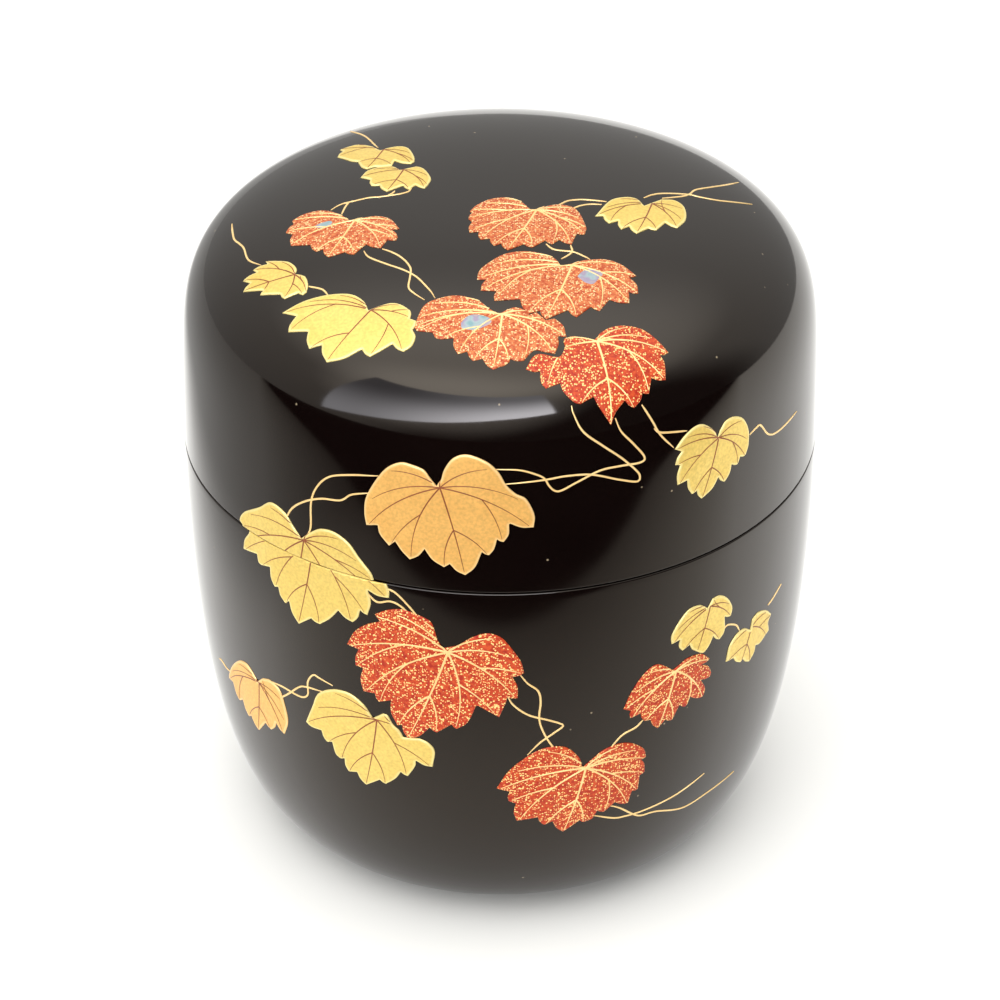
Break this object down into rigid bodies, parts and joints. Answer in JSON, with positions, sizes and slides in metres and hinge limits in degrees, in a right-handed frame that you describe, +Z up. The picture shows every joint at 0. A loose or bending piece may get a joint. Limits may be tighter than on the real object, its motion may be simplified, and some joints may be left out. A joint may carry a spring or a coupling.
{
  "type": "tea caddy",
  "caption": "Round lacquered wood tea caddy: a lift-off lid fits over the body's mouth rim, with raised gold and red vine leaves and shell inlays on the black lacquer.",
  "frame": {"origin": "middle of the foot, on the surface that the caddy stands on", "axes": "+Z up along the caddy's axis, -Y towards the front, where most of the leaves are, +X to the right seen from the front"},
  "size_m": [0.066, 0.0662, 0.0722],
  "materials": {
    "turned_wood": "fine turned wood under its coats",
    "black_lacquer": "polished black lacquer",
    "gold_leaf": "pale gold powder in raised lacquer, satin",
    "orange_gold_leaf": "red-gold powder in raised lacquer, satin",
    "vermilion_leaf": "vermilion lacquer with gold flakes, satin",
    "coral_leaf": "light vermilion lacquer with gold flakes, satin",
    "shell": "polished mother-of-pearl"
  },
  "bodies": {
    "body": {"body_core": "turned_wood", "base_lacquer": "black_lacquer", "body_inner_lacquer": "black_lacquer", "body_outer_lacquer": "black_lacquer", "body_half_of_seam_leaf": "gold_leaf", "body_leaf_gold_far_right": "gold_leaf", "body_leaf_gold_front": "gold_leaf", "body_leaf_gold_right": "gold_leaf", "body_leaf_orange_left": "orange_gold_leaf", "body_leaf_red_front": "vermilion_leaf", "body_leaf_red_low": "vermilion_leaf", "body_leaf_red_right": "vermilion_leaf"},
    "lid": {"lid_core": "turned_wood", "lid_inner_lacquer": "black_lacquer", "lid_outer_lacquer": "black_lacquer", "lid_half_of_seam_leaf": "gold_leaf", "lid_leaf_gold_back_left": "gold_leaf", "lid_leaf_gold_crown_left": "gold_leaf", "lid_leaf_gold_crown_right": "gold_leaf", "lid_leaf_gold_right": "gold_leaf", "lid_leaf_gold_shoulder": "gold_leaf", "lid_leaf_gold_small_left": "gold_leaf", "lid_leaf_orange_front": "orange_gold_leaf", "lid_leaf_red_centre": "coral_leaf", "lid_leaf_red_crown": "coral_leaf", "lid_leaf_red_crown_left": "coral_leaf", "lid_leaf_red_front": "coral_leaf", "lid_leaf_red_right": "vermilion_leaf", "lid_shell_inlay_red_centre": "shell", "lid_shell_inlay_red_crown_left": "shell", "lid_shell_inlay_red_front": "shell"}
  },
  "joints": [
    {"name": "lid_lift", "type": "slide", "parent": "body", "child": "lid", "axis": [0, 0, 1], "range_m": [0, 0.06]}
  ]
}
